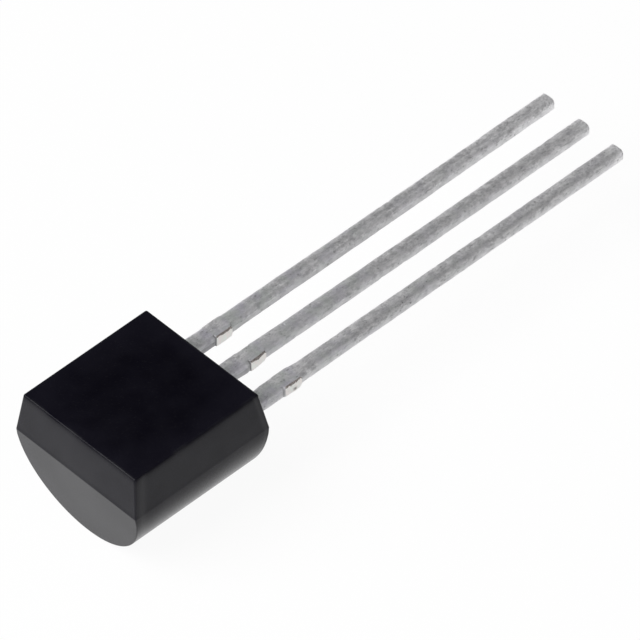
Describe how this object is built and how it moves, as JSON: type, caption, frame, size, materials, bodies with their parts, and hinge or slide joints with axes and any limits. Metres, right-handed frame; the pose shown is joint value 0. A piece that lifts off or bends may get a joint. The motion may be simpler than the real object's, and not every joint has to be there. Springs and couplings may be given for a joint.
{
  "type": "voltage reference",
  "caption": "Three-lead voltage reference in a moulded black package, flat in front and half round behind, with straight tinned leads.",
  "frame": {"origin": "under the middle of the whole part, on the surface that its round back lies on", "axes": "+X across the row of leads, +Y along the leads towards their tips, +Z out of the flat front face"},
  "size_m": [0.0046, 0.0182, 0.0036],
  "materials": {
    "epoxy": "black moulding compound, half gloss from a polished mould",
    "tinned_lead": "matte tin plating on stamped copper alloy, bare where the dam bar was cut",
    "silicon": "sawn silicon with a smooth front",
    "die_adhesive": "silver-filled epoxy",
    "bond_metal": "drawn copper wire"
  },
  "bodies": {
    "root": {"moulded_body": "epoxy", "left_lead": "tinned_lead", "middle_lead": "tinned_lead", "right_lead": "tinned_lead", "silicon_die": "silicon", "die_attach": "die_adhesive", "left_bond_wire": "bond_metal", "right_bond_wire": "bond_metal", "ground_bond_wire": "bond_metal"}
  },
  "joints": []
}
